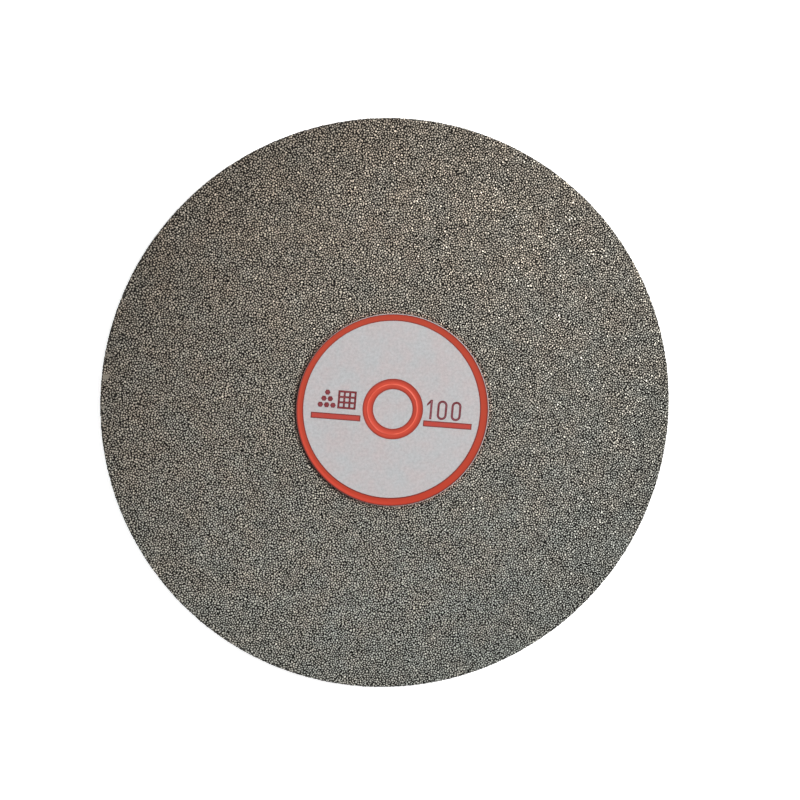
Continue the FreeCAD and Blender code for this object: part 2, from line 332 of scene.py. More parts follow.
def plated_nickel(name, warm, roughness, grain):
    """Dull electroplated nickel with a fine grain and faint stains."""
    n = Nodes(name)
    stain = n.noise(14.0, 4.0, 0.6)
    colour = n.mix(stain, warm, tuple(0.86 * part for part in warm[:3]) + (1,))
    fine = n.noise(0.5, 2.0, 0.5, grain)
    n.bump(fine, 0.12, 0.01)
    return n.finish(colour, n.span(fine, roughness - 0.08, roughness + 0.1), 1.0)


PAPER_SHADES = (0.355, 0.345, 0.35, 1), (0.475, 0.463, 0.468, 1)
PAPER_TINTS = (1.03, 0.965, 0.975, 1), (0.965, 1.01, 1.035, 1)  # pinkish and bluish
# painted shade for the paper's edge on its left side
PAINTED_EDGE_SHADE = (0.08, 0.025, 0.016, 1)


def paper_material():
    """Matt label paper: a fine mottle, faint pinkish and bluish clouds, and painted shade along its edge
    on the left, the side away from the key light.
    """
    n = Nodes("label_paper")
    mottle = n.span(n.noise(0.7, 4.0, 0.8), 0.0, 1.0, 0.3, 0.7)
    colour = n.mix(mottle, *PAPER_SHADES)
    clouds = n.span(n.noise(5.0, 3.0, 0.6), 0.0, 1.0, 0.35, 0.65)
    colour = n.mix(1.0, colour, n.mix(clouds, *PAPER_TINTS), "MULTIPLY")
    # painted shade: the paper's edge is darkened on its left side
    edge_shade_share = n.maths("MULTIPLY", n.attribute("edge"), n.span(n.across((-1.0, -0.1)), 0.15, 1.0, 0.0, 0.25))
    colour = n.mix(edge_shade_share, colour, PAINTED_EDGE_SHADE)
    n.bump(n.noise(0.25, 3.0), 0.15, 0.02)
    return n.finish(colour, 0.7, specular=0.3)


# Inks: the full colour, the colour where the ink lies thin, and the colour along its edges
ORANGE_INK = (0.52, 0.060, 0.034, 1), (0.47, 0.052, 0.030, 1), (0.24, 0.034, 0.026, 1)
RED_INK = (0.42, 0.046, 0.033, 1), (0.39, 0.055, 0.045, 1), (0.17, 0.026, 0.024, 1)
DARK_RED_INK = (0.15, 0.016, 0.022, 1), (0.24, 0.045, 0.055, 1), (0.12, 0.014, 0.018, 1)
STAMP_INK = (0.13, 0.015, 0.024, 1), (0.27, 0.09, 0.115, 1), (0.13, 0.018, 0.026, 1)
# painted highlight for the arbor ring's crest
CREST_HIGHLIGHT_INK = (0.74, 0.135, 0.082, 1)
BORDER_SHADES = (0.365, 0.039, 0.0175, 1), (0.42, 0.047, 0.022, 1)
# painted light for the border's lower part, and a painted highlight for its streak
BORDER_LIT_LOW, BORDER_HIGHLIGHT = (0.43, 0.033, 0.013, 1), (0.60, 0.062, 0.036, 1)
# dark ink where it pools at the edges, darker toward the bottom as painted shade
BORDER_POOL_AND_SHADE = (0.15, 0.018, 0.014, 1)


def ink_material(name, full, thin, rim, size_mm, roughness=0.45):
    """Printing ink that lies unevenly on paper and pools along its edges."""
    n = Nodes(name)
    cover = n.span(n.noise(size_mm, 3.0, 0.6), 0.0, 1.0, 0.35, 0.65)
    colour = n.mix(cover, full, thin)
    colour = n.mix(n.attribute("edge"), colour, rim)
    n.bump(n.noise(0.25, 3.0), 0.1, 0.02)
    return n.finish(colour, roughness, specular=0.4)


def arbor_ring_material():
    """The ring's ink has a painted highlight, broken into patches, along the crest where the hole's edge
    stands through, painted shade inside the dip, and gets darker toward its outer edge.
    """
    n = Nodes("arbor_ring_ink")
    full, thin, rim = ORANGE_INK
    colour = n.mix(n.noise(4.0), full, thin)
    radius = n.radius(BEAD_MIDDLE)
    # painted shade inside the dip into the hole
    painted_dip_shade = n.span(radius, 0.75, 1.0, DIP_END + 0.2, DIP_START - 0.2)
    colour = n.scaled(colour, painted_dip_shade)
    colour = n.scaled(colour, n.span(radius, 1.0, 0.72, 7.1, 7.7))
    crest = n.maths("ABSOLUTE", n.maths("SUBTRACT", radius, BEAD_RADIUS))
    # painted highlight along the crest, broken into patches
    highlight_patches = n.span(n.noise(5.0, 2.0), 0.15, 0.9, 0.4, 0.6)
    painted_crest_highlight = n.maths("MULTIPLY", n.span(crest, 1.0, 0.0, 0.04, 0.22), highlight_patches)
    colour = n.mix(painted_crest_highlight, colour, CREST_HIGHLIGHT_INK)
    colour = n.mix(n.attribute("edge"), colour, rim)
    n.bump(n.noise(0.25, 3.0), 0.1, 0.02)
    return n.finish(colour, 0.42, specular=0.35)


def border_material():
    """Border ink: painted light makes it brighter at the lower edge of the label, a painted highlight
    streaks its outer part at the lower left, and dark lines lie where it pools, with painted shade making
    them a little darker toward the bottom.
    """
    n = Nodes("border_ink")
    low = n.across((0.0, -1.0))
    colour = n.mix(n.noise(6.0), *BORDER_SHADES)
    # painted light: lighter toward the bottom
    colour = n.mix(n.span(low, 0.0, 0.8, 0.1, 0.34), colour, BORDER_LIT_LOW)
    painted_streak = n.span(n.radius((-0.2, -0.3)), 0.0, 0.45, 24.0, 24.35)
    left = n.span(n.across((-0.8, -0.6)), 0.0, 1.0, 0.15, 0.33)
    # painted highlight streak along the outer part at the lower left
    colour = n.mix(n.maths("MULTIPLY", painted_streak, left), colour, BORDER_HIGHLIGHT)
    # ink pooled along both edges, with painted shade darker toward the bottom
    pool_and_shade = n.maths("MULTIPLY", n.attribute("edge"), n.span(low, 0.8, 1.0, -0.1, 0.2))
    colour = n.mix(pool_and_shade, colour, BORDER_POOL_AND_SHADE)
    n.bump(n.noise(0.25, 3.0), 0.1, 0.02)
    return n.finish(colour, 0.45, specular=0.4)


def glue_material():
    """Clear yellowish glue seen from behind, through the arbor hole."""
    n = Nodes("label_adhesive")
    colour = n.mix(n.noise(1.5, 3.0), (0.62, 0.58, 0.45, 1), (0.55, 0.5, 0.38, 1))
    n.bump(n.noise(0.8, 2.0), 0.3, 0.03)
    return n.finish(colour, 0.35)


# ---------------------------------------------------------------- mesh helpers

def smooth(value):
    """Eases from 0 to 1."""
    value = min(max(value, 0.0), 1.0)
    return value * value * (3 - 2 * value)


def add_piece(name, points, faces, material, node, smooth_angle=None, values=None, domain="FACE"):
    """A mesh piece in place of a CAD node. points are in millimetres; values are numbers for each face
    or each point."""
    mesh = bpy.data.meshes.new(name)
    mesh.from_pydata([tuple(point) for point in np.asarray(points) * MM], [], faces)
    for key, numbers in (values or {}).items():
        layer = mesh.attributes.new(key, "FLOAT", domain)
        layer.data.foreach_set("value", np.asarray(numbers, np.float32))
    if smooth_angle is not None:
        mesh.polygons.foreach_set("use_smooth", [True] * len(mesh.polygons))
        mesh.set_sharp_from_angle(angle=math.radians(smooth_angle))
    mesh.materials.append(material)
    piece = bpy.data.objects.new(name, mesh)
    bpy.context.scene.collection.objects.link(piece)
    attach(piece, "root")
    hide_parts(node)
    return piece


def grid_faces(rows, columns, closed_rows, closed_columns, start=0):
    """Quads between neighbouring points of a grid stored row by row."""
    faces = []
    for row in range(rows if closed_rows else rows - 1):
        for column in range(columns if closed_columns else columns - 1):
            below, beside = (row + 1) % rows, (column + 1) % columns
            faces.append((
                start + row * columns + column,
                start + row * columns + beside,
                start + below * columns + beside,
                start + below * columns + column,
            ))
    return faces


def turned(outline, segments):
    """Points and faces of a closed outline of (radius, height) turned about the spindle axis."""
    turn = np.arange(segments) * math.tau / segments
    points = []
    for radius, height in outline:
        points.extend(zip(radius * np.cos(turn), radius * np.sin(turn), [height] * segments))
    return points, grid_faces(len(outline), segments, True, True)


def quarter(centre_r, centre_z, radius, start, end, steps=6):
    """Points of an arc in the (radius, height) plane, angles in degrees."""
    turn = np.radians(np.linspace(start, end, steps))
    return [(centre_r + radius * math.cos(a), centre_z + radius * math.sin(a)) for a in turn]


# ---------------------------------------------------------------- blank and plating

FACE_RINGS = (20.0, 40.0, 60.0)  # radii that divide the wide flat faces


def add_steel_blank():
    """The stamped disc, with rounded rim edges and a broken edge at the hole."""
    inner = BORE_RADIUS + STEEL_BACK
    centre = STEEL_RADIUS - EDGE_ROUND
    outline = [(inner, STEEL_BACK + MOUTH), (inner + MOUTH, STEEL_BACK)]
    outline += quarter(centre, STEEL_BACK + EDGE_ROUND, EDGE_ROUND, -90, 0)
    outline += quarter(centre, STEEL_FRONT - EDGE_ROUND, EDGE_ROUND, 0, 90)
    outline += [(inner, STEEL_FRONT)]
    points, faces = turned(outline, 360)
    material = plated_nickel("steel_blank", (0.5, 0.5, 0.5, 1), 0.4, (1, 8, 1))
    add_piece("steel_blank", points, faces, material, "steel_blank", 35)


def add_nickel_flash():
    """The back, the lower rim and the wall of the hole, with a broken edge at the hole's mouth."""
    centre = STEEL_RADIUS - EDGE_ROUND
    reach = FLASH_RADIUS - centre
    inner = BORE_RADIUS + STEEL_BACK
    outline = [(BORE_RADIUS, MOUTH), (BORE_RADIUS + MOUTH, 0.0)]
    outline += [(radius, 0.0) for radius in FACE_RINGS]
    outline += quarter(centre, reach, reach, -90, 0)
    outline += [(FLASH_RADIUS, STEEL_FRONT - EDGE_ROUND)]
    outline += [(STEEL_RADIUS, STEEL_FRONT - EDGE_ROUND)]
    outline += quarter(centre, STEEL_BACK + EDGE_ROUND, EDGE_ROUND, 0, -90)
    outline += [(inner + MOUTH, STEEL_BACK), (inner, STEEL_BACK + MOUTH)]
    outline += [(inner, GRIT_FRONT), (BORE_RADIUS, GRIT_FRONT)]
    points, faces = turned(outline, 720)
    material = plated_nickel("nickel_flash", (0.60, 0.575, 0.53, 1), 0.3, (1, 12, 1))
    add_piece("nickel_flash", points, faces, material, "nickel_flash", 35)


def add_nickel_bond():
    """The plated nickel under the grit: it shows at the lower edge of the plated rim."""
    inner = BORE_RADIUS + STEEL_BACK
    centre = STEEL_RADIUS - EDGE_ROUND
    under = VALLEY - 0.02
    thin = under - STEEL_FRONT
    outline = [(inner, STEEL_FRONT)]
    outline += quarter(centre, STEEL_FRONT - EDGE_ROUND, EDGE_ROUND, 90, 0)
    outline += [(FLASH_RADIUS, STEEL_FRONT - EDGE_ROUND), (FLASH_RADIUS, WRAP_END)]
    outline += [(FLASH_RADIUS + thin, WRAP_END)]
    outline += quarter(centre, under - EDGE_ROUND - thin, EDGE_ROUND + thin, 0, 90)
    outline += [(radius, under) for radius in reversed(FACE_RINGS)]
    outline += [(inner, under)]
    points, faces = turned(outline, 720)
    material = plated_nickel("nickel_bond", (0.42, 0.40, 0.36, 1), 0.4, (1, 1, 1))
    add_piece("nickel_bond", points, faces, material, "nickel_bond", 35)


# ---------------------------------------------------------------- grit

PITCH = 0.56  # between the middles of neighbouring crystals
VALLEY = BOND_FRONT - 0.04  # nickel level between crystals
CREST = (0.06, 0.13)  # how far the flat of a crystal stands out of the valley
RELIEF_BACK = -0.03  # the relief's bottom, below the valley
SECTORS = 6
DARK_RIM, RIM_SHADE = 0.3, 0.35  # the outermost crystals face sideways and look dark
LEE_WIDTH, LEE_SHADE = 0.9, 0.85  # crystals this near the label lie in its shadow
LIT_SIDE = math.radians(15)
GRIT_START = LABEL_RADIUS - 1.5  # the grit begins under the label
BARE_SPOTS = [(-73.4, 9.0, 0.8), (-74.0, 1.5, 0.6), (-72.6, 14.5, 0.55)]  # across, along, size
FLAT_SHARE = (0.66, 0.80)  # how much of a crystal's cell its flat takes up, in each direction
FLAT_LEAN, BARE_LEAN = 0.30, 0.1  # steepest slope of a crystal's flat
FLAT_TONE, SHADED_SIDE_TONE = (0.78, 0.06), (0.03, 0.03)  # brightness of facets, and its spread; the sides are painted almost black, painted shade between the crystals over the darker nickel
BARE_TONE, BARE_SIDE_TONE, WALL_TONE = 0.45, 0.4, 0.3
COATED_SHARE = 0.7  # of the crystals, those that nickel has grown over

# The plated surface from the axis outwards: a flat face, a rounded edge and the rim's wall
PLATED_ROUND = EDGE_ROUND + 0.06
PLATED_FLAT = BOND_RADIUS - PLATED_ROUND
PLATED_BEND = PLATED_ROUND * math.pi / 2
PLATED_REACH = PLATED_FLAT + PLATED_BEND + (VALLEY - PLATED_ROUND - WRAP_END)


def rim_profile(reach):
    """Carries a distance along the plated surface, from the axis outwards, to a radius, a height and the
    surface's direction."""
    angle = np.clip((reach - PLATED_FLAT) / PLATED_ROUND, 0, math.pi / 2)
    drop = np.clip(reach - PLATED_FLAT - PLATED_BEND, 0, None)
    radius = np.minimum(reach, PLATED_FLAT) + PLATED_ROUND * np.sin(angle)
    height = VALLEY - PLATED_ROUND * (1 - np.cos(angle)) - drop
    return radius, height, np.sin(angle), np.cos(angle)


def scatter(inner, outer, pitch):
    """Random points of a ring, none nearer than about pitch to another."""
    apart = pitch * 0.8
    count = int(6 * math.pi * (outer**2 - inner**2) / pitch**2)
    radius = np.sqrt(rng.uniform(inner**2, outer**2, count))
    turn = rng.uniform(0, math.tau, count)
    candidates = np.stack([radius * np.cos(turn), radius * np.sin(turn)], 1)
    cells = np.floor(candidates / apart).astype(int)
    taken, kept = {}, []
    for point, (column, row) in zip(candidates.tolist(), cells.tolist()):
        near = (
            other
            for i in (column - 1, column, column + 1)
            for j in (row - 1, row, row + 1)
            for other in taken.get((i, j), ())
        )
        if all((point[0] - x) ** 2 + (point[1] - y) ** 2 > apart**2 for x, y in near):
            taken.setdefault((column, row), []).append(point)
            kept.append(point)
    return kept


def circle_points(radius, pitch):
    """Evenly spaced points of a circle about the axis, about pitch apart."""
    count = int(math.tau * radius / pitch)
    return [(radius * math.cos(a), radius * math.sin(a)) for a in np.arange(count) * math.tau / count]


class Relief:
    """Collects one sector's vertices and facets, in flat coordinates with a height."""

    def __init__(self):
        self.points, self.faces, self.tone, self.coated = [], [], [], []
        self.shared = {}

    def shared_point(self, key, point):
        """The number of a point that several facets share, added when it is first asked for."""
        if key not in self.shared:
            self.shared[key] = len(self.points)
            self.points.append(point)
        return self.shared[key]

    def facet(self, corners, tone, coated):
        """Adds a facet with its brightness and how far nickel coats it."""
        self.faces.append(corners)
        self.tone.append(tone)
        self.coated.append(coated)


def under_label(x, y, margin=0.3):
    """Whether a point lies under the label, or nearer to it than margin."""
    return math.hypot(x - LABEL_MIDDLE[0], y - LABEL_MIDDLE[1]) < LABEL_RADIUS + margin


def shade(x, y):
    """Brightness of a crystal: less on the rim's wall, and in the label's lee at its lower left."""
    if math.hypot(x, y) > WHEEL_RADIUS - DARK_RIM:
        return RIM_SHADE
    over, up = x - LABEL_MIDDLE[0], y - LABEL_MIDDLE[1]
    near = smooth(1.2 - (math.hypot(over, up) - LABEL_RADIUS) / LEE_WIDTH)
    lee = smooth(0.1 - 0.9 * math.cos(math.atan2(up, over) - LIT_SIDE))
    return 1.0 - LEE_SHADE * near * (0.12 + 0.88 * lee)


def is_bare(x, y):
    """Whether a point lies in a patch where the crystals have come off."""
    return any(math.hypot(x - a, y - b) < size for a, b, size in BARE_SPOTS)


def random_tone(mean, spread):
    """A brightness near the mean, held between 0 and 1."""
    return min(max(rng.normal(mean, spread), 0.0), 1.0)


def seen_from(centre, relief, ring):
    """The ring's points in order of their angle at the centre, with those angles and their distances."""
    spokes = [(relief.points[i][0] - centre[0], relief.points[i][1] - centre[1]) for i in ring]
    angles = [math.atan2(dy, dx) for dx, dy in spokes]
    first = min(range(len(ring)), key=angles.__getitem__)
    order = [(first + i) % len(ring) for i in range(len(ring))]
    reach = [math.hypot(*spokes[i]) for i in order]
    angles = np.maximum.accumulate([angles[i] for i in order]).tolist()
    return [ring[i] for i in order], angles, reach


def add_crystal(relief, centre, ring):
    """One crystal: a tilted flat of three or four corners, joined to the valley round it. ring holds the
    valley's points, anticlockwise."""
    ring, angles, reach = seen_from(centre, relief, ring)
    bare = is_bare(*centre)
    top = crystal_top(centre, angles, reach, bare)
    if under_label(*centre):
        top = [(x, y, min(height, GLUE_BACK - VALLEY), angle) for x, y, height, angle in top]
    start = len(relief.points)
    relief.points.extend(corner[:3] for corner in top)
    corners = list(range(start, start + len(top)))
    tone = BARE_TONE if bare else random_tone(*FLAT_TONE) * shade(*centre)
    coated = 0.0 if bare else float(rng.random() < COATED_SHARE)
    relief.facet(tuple(corners), tone, coated)
    top_angles = [corner[3] for corner in top]
    add_sides(relief, (ring, angles), (corners, top_angles), bare, coated * 0.5)


def add_sides(relief, outer, inner, bare, coated):
    """A crystal's sides: triangles between two rings of points, each with its points' angles."""
    (ring, angles), (corners, top_angles) = outer, inner
    i = j = 0
    while i < len(ring) or j < len(corners):
        # painted shade: the sides of crystals are made almost black, as if shaded in the valleys
        tone = BARE_SIDE_TONE if bare else random_tone(*SHADED_SIDE_TONE)
        if j >= len(corners) or (i < len(ring) and angles[i] <= top_angles[j]):
            relief.facet((ring[i - 1], ring[i], corners[j - 1]), tone, coated)
            i += 1
        else:
            relief.facet((ring[i - 1], corners[j], corners[j - 1]), tone, coated)
            j += 1


def crystal_top(centre, angles, reach, bare):
    """Corners of a crystal's flat, anticlockwise: across, along, height, and the angle from the middle."""
    sides = int(rng.integers(3, 5))
    share = rng.uniform(*FLAT_SHARE)
    crest = 0.0 if bare else rng.uniform(*CREST)
    lean = rng.uniform(0.0, BARE_LEAN if bare else FLAT_LEAN)
    aspect = rng.uniform(0, math.tau)
    begin = rng.uniform(-math.pi, math.pi)
    top = []
    for side in range(sides):
        angle = begin + (side + rng.uniform(-0.2, 0.2)) * math.tau / sides
        angle = (angle + math.pi) % math.tau - math.pi
        span = float(np.interp(angle, angles, reach, period=math.tau)) * share * rng.uniform(0.8, 1.1)
        height = max(crest + lean * span * math.cos(angle - aspect), 0.0)
        top.append((centre[0] + span * math.cos(angle), centre[1] + span * math.sin(angle), height, angle))
    return sorted(top, key=lambda corner: corner[3])


def go_round(corner, incident, triangles):
    """The triangles round a corner, anticlockwise, with the first and last of its neighbours."""
    following = {}
    for index in incident:
        face = triangles[index]
        at = face.index(corner)
        following[face[(at + 1) % 3]] = (index, face[(at + 2) % 3])
    ends = {end for _, end in following.values()}
    first = last = next((start for start in following if start not in ends), next(iter(following)))
    chain = []
    while last in following:
        index, last = following.pop(last)
        chain.append(index)
    return chain, first, last


def grow_reliefs():
    """The plated face in sectors. Crystals stand at random points; the valley round each one runs
    through the middles of the triangles between neighbouring points."""
    inner_circle = circle_points(GRIT_START, PITCH)
    circles = inner_circle + circle_points(PLATED_REACH, PITCH)
    seeds = circles + scatter(GRIT_START + 0.4 * PITCH, PLATED_REACH - 0.4 * PITCH, PITCH)
    made = delaunay_2d_cdt([Vector(seed) for seed in seeds], [], [], 0, 1e-6)
    spots = [tuple(spot) for spot in made[0]]
    triangles = [face for face in made[2] if max(face) >= len(inner_circle)]
    around = [[] for _ in spots]
    valley = []
    for index, face in enumerate(triangles):
        middle = np.mean([spots[corner] for corner in face], 0) + rng.normal(0, 0.05 * PITCH, 2)
        valley.append((*middle.tolist(), float(rng.uniform(0.0, 0.03))))
        for corner in face:
            around[corner].append(index)
    reliefs = [Relief() for _ in range(SECTORS)]
    for index, spot in enumerate(spots):
        relief = reliefs[int(math.atan2(spot[1], spot[0]) / math.tau % 1.0 * SECTORS) % SECTORS]
        chain, *neighbours = go_round(index, around[index], triangles)
        ring = [relief.shared_point(("valley", i), valley[i]) for i in chain]
        if index >= len(circles):
            add_crystal(relief, spot, ring)
            continue
        halves = []
        for other in neighbours:
            x, y = np.mean([spot, spots[other]], 0).tolist()
            halves.append(relief.shared_point(("half", *sorted((index, other))), (x, y, 0.0)))
        add_border_cell(relief, spot, [halves[0], *ring, halves[1]])
    return reliefs


def add_border_cell(relief, spot, strip):
    """Fills the narrow strip between the first row of crystals and a border circle."""
    here = relief.shared_point(("border", spot), (*spot, 0.0))
    for start, end in zip(strip, strip[1:]):
        relief.facet((here, start, end), 0.5, 0.0)


def lift(points):
    """Carries flat points with heights onto the plated surface."""
    flat = np.array(points)
    reach = np.hypot(flat[:, 0], flat[:, 1])
    turn = np.arctan2(flat[:, 1], flat[:, 0])
    radius, height, outwards, upwards = rim_profile(reach)
    radius = radius + outwards * flat[:, 2]
    height = height + upwards * flat[:, 2]
    return np.stack([radius * np.cos(turn), radius * np.sin(turn), height], 1)


def close_relief(relief, sector):
    """Adds walls and a bottom, so that the sector becomes a closed solid."""
    edges = [edge for face in relief.faces for edge in zip(face, face[1:] + face[:1])]
    directed = set(edges)
    open_edges = [edge for edge in edges if edge[::-1] not in directed]
    below = {}
    for start, _ in open_edges:
        x, y, _ = relief.points[start]
        below[start] = len(relief.points)
        relief.points.append((x, y, RELIEF_BACK))
    for start, end in open_edges:
        relief.facet((end, start, below[start], below[end]), WALL_TONE, 0.0)
    corners = list(below)
    order = {corner: i for i, corner in enumerate(corners)}
    flat = [Vector(relief.points[corner][:2]) for corner in corners]
    edges = [(order[start], order[end]) for start, end in open_edges]
    made = delaunay_2d_cdt(flat + bend_points(sector), edges, [], 1, 1e-7)
    bottom = []
    for position, origin in zip(made[0], made[3]):
        known = [i for i in origin if i < len(corners)]
        if known:
            bottom.append(below[corners[known[0]]])
        else:
            bottom.append(len(relief.points))
            relief.points.append((position.x, position.y, RELIEF_BACK))
    for face in made[2]:
        relief.facet(tuple(bottom[i] for i in reversed(face)), WALL_TONE, 0.0)


def bend_points(sector):
    """Extra points for a sector's bottom, where it bends over the rim."""
    points = []
    for radius in np.linspace(PLATED_REACH - 1.2, PLATED_REACH - 0.1, 9):
        for x, y in circle_points(radius, 1.0):
            turn = math.atan2(y, x) / math.tau % 1.0 * SECTORS
            if sector + 0.05 < turn < sector + 0.95:
                points.append(Vector((x, y)))
    return points


def add_grit():
    """The crystals, as one closed relief for each sector of the wheel."""
    material = grit_material()
    for number, relief in enumerate(grow_reliefs()):
        close_relief(relief, number)
        values = {"tone": relief.tone, "coated": relief.coated}
        name = f"diamond_grit_{number + 1}"
        add_piece(name, lift(relief.points), relief.faces, material, "diamond_grit", None, values)


# ---------------------------------------------------------------- label sheet

DIP_DEPTH = 0.09  # how far the sheet sinks into the arbor hole
DIP_START, DIP_END = 6.3, 5.3  # radii between which it sinks
BEAD_RADIUS, BEAD_HEIGHT, BEAD_WIDTH = 6.57, 0.09, 0.22  # the hole's edge, pressed through the sheet
BEAD_MIDDLE = (-0.2, -0.06)  # the sheet was rubbed down a little to one side
WAVE_HEIGHT, WAVE_SIZE = 0.05, 9.0  # the paper's slow waves
SHOW_THROUGH, SHOW_SIZE = 0.004, 1.6  # grit felt through the paper
EDGE_LIFT, LIFT_WIDTH = 0.08, 1.2  # the label's edge stands off the grit
GLUE_MARGIN = 0.05
INK_RISE, INK_BED = 0.007, 0.01  # how far the ink stands out of the paper, and how deep it goes


def sheet_height(x, y):
    """How far the label's sheet lies above or below flat at a point."""
    radius = math.hypot(x - BEAD_MIDDLE[0], y - BEAD_MIDDLE[1])
    dip = -DIP_DEPTH * smooth((DIP_START - radius) / (DIP_START - DIP_END))
    bead = BEAD_HEIGHT * math.exp(-(((radius - BEAD_RADIUS) / BEAD_WIDTH) ** 2))
    grit = SHOW_THROUGH * noise.noise(Vector((x, y, SHOW_SIZE)) / SHOW_SIZE)
    wave = WAVE_HEIGHT * noise.noise(Vector((x, y, WAVE_SIZE)) / WAVE_SIZE)
    from_middle = math.hypot(x - LABEL_MIDDLE[0], y - LABEL_MIDDLE[1])
    lift = EDGE_LIFT * smooth((from_middle - LABEL_RADIUS) / LIFT_WIDTH + 1)
    return dip + bead + grit + wave + lift


def sheet_solid(rings, back, front):
    """A closed sheet between two heights. rings are rows of (x, y) about a single point, the first.
    Returns points, faces and a number for each point that is 1 along the sheet's edge."""
    flat = [spot for ring in rings for spot in ring]
    columns = len(rings[1])
    points = [(x, y, height + sheet_height(x, y)) for height in (front, back) for x, y in flat]
    shift = len(flat)
    last = shift - columns
    upper = grid_faces(len(rings) - 1, columns, False, True, 1)
    faces = [tuple(reversed(face)) for face in upper]
    faces += [(0, 1 + i, 1 + (i + 1) % columns) for i in range(columns)]
    faces += [tuple(shift + i for i in reversed(face)) for face in faces]
    for i in range(columns):
        j = (i + 1) % columns
        faces.append((last + i, last + shift + i, last + shift + j, last + j))
    edge = [float(i % shift >= last) for i in range(2 * shift)]
    return points, faces, edge


def label_rings(radius, columns=240):
    """Rings of the label's sheet, closest together where it bends over the edge of the hole."""
    reaches = np.concatenate([
        np.linspace(0.8, 5.0, 9),
        np.linspace(5.1, 7.3, 30),  # the bend over the hole's edge
        np.linspace(7.8, radius - 1.6, 44),
        np.linspace(radius - 1.4, radius, 12),  # the lifted edge
    ])
    turn = np.arange(columns) * math.tau / columns
    rings = [[(0.0, 0.0)]]
    for reach in reaches:
        middle = LABEL_MIDDLE * (reach / radius) ** 2
        rings.append([(middle[0] + reach * math.cos(a), middle[1] + reach * math.sin(a)) for a in turn])
    return rings


def add_paper():
    """The label's sheet of paper."""
    points, faces, edge = sheet_solid(label_rings(LABEL_RADIUS), GLUE_FRONT, PAPER_FRONT)
    add_piece("label_paper", points, faces, paper_material(), "label_paper", 40, {"edge": edge}, "POINT")


def add_glue():
    """The glue under the paper, which stops just short of its edge."""
    points, faces, _ = sheet_solid(label_rings(LABEL_RADIUS - GLUE_MARGIN), GLUE_BACK, GLUE_FRONT)
    add_piece("label_adhesive", points, faces, glue_material(), "label_adhesive", 40)


# ---------------------------------------------------------------- printing

PRINT_TILT = math.radians(-5.15)
BORDER_MIDDLE, BORDER_INNER = (-0.12, -0.21), 23.3
BORDER_SLIP, BORDER_TRIM = (-0.07, -0.05), 0.13  # the die cut leaves a pale line outside the border
RING_INNER = 5.2
BAR_ACROSS, BAR_DROP, BAR_LENGTH, BAR_WIDTH = 14.8, 3.1, 13.0, 1.6
GRAINS_ACROSS, SIEVE_ACROSS, SYMBOL_RISE = -17.4, -12.2, 1.45
SYMBOL_HEIGHT, SYMBOL_STROKE, GRAIN_SIZE = 4.8, 0.55, 1.5
NUMERAL_HEIGHT, NUMERAL_WIDTH, NUMERAL_STROKE, NUMERAL_RISE = 5.15, 2.65, 0.6, 0.7
ONE_ACROSS, NOUGHTS_ACROSS = 10.1, (13.05, 16.8)
INK_EDGE = 0.36  # ink lies thicker in a band this wide along its edges


def tilted(x, y):
    """A point given in the printing's own axes."""
    return (
        x * math.cos(PRINT_TILT) - y * math.sin(PRINT_TILT),
        x * math.sin(PRINT_TILT) + y * math.cos(PRINT_TILT),
    )


def places(low, high, step):
    """Places from low to high, with two narrow cells at each end for the ink's edge."""
    band = min(INK_EDGE, (high - low) * 0.3)
    inner = np.linspace(low + band, high - band, max(2, math.ceil((high - low) / step)))
    return [low, low + band / 2, *inner, high - band / 2, high]


def film(rows, columns, spots, closed):
    """A thin closed film over a grid of (x, y) spots, row by row; closed joins the last column to the
    first. Returns points, faces and a number for each point that is 1 in the film's outermost cells."""
    heights = (PAPER_FRONT + INK_RISE, PAPER_FRONT - INK_BED)
    points = [(x, y, height + sheet_height(x, y)) for height in heights for x, y in spots]
    shift = len(spots)
    faces = grid_faces(rows, columns, False, closed)
    faces += [tuple(shift + i for i in reversed(face)) for face in faces]
    for row in (0, rows - 1):
        for column in range(columns if closed else columns - 1):
            a, b = row * columns + column, row * columns + (column + 1) % columns
            side = (a, a + shift, b + shift, b)
            faces.append(side if row == 0 else tuple(reversed(side)))
    if not closed:
        for column in (0, columns - 1):
            for row in range(rows - 1):
                a, b = row * columns + column, (row + 1) * columns + column
                side = (a, b, b + shift, a + shift)
                faces.append(side if column == 0 else tuple(reversed(side)))
    edge = []
    for i in range(shift):
        row, column = divmod(i, columns)
        beside = min(column, columns - 1 - column) <= 1 and not closed
        edge.append(float(beside or min(row, rows - 1 - row) <= 1))
    return points, faces, edge * 2


def ring_film(inner, outer, columns, step):
    """A film between two circles; each is ((x, y), radius)."""
    spots = []
    wide = outer[1] - inner[1]
    reaches = places(0.0, wide, step)
    for reach in reversed(reaches):
        share = reach / wide
        x, y = (a + (b - a) * share for a, b in zip(inner[0], outer[0]))
        radius = inner[1] + reach
        for a in np.arange(columns) * math.tau / columns:
            spots.append((x + radius * math.cos(a), y + radius * math.sin(a)))
    return film(len(reaches), columns, spots, True)


def patch_film(left, right, low, high):
    """A film over a rectangle in the printing's own axes."""
    across, up = places(left, right, 0.4), places(low, high, 0.4)
    spots = [tilted(x, y) for y in up for x in across]
    return film(len(up), len(across), spots, False)


def joined(parts):
    """Several films as one: points, faces and edge numbers."""
    points, faces, edge = [], [], []
    for more_points, more_faces, more_edge in parts:
        shift = len(points)
        points.extend(more_points)
        faces.extend(tuple(shift + i for i in face) for face in more_faces)
        edge.extend(more_edge)
    return points, faces, edge


def add_ink(node, shape, material):
    """A printed piece in place of the node that it is named after."""
    points, faces, edge = shape
    add_piece(node, points, faces, material, node, 40, {"edge": edge}, "POINT")


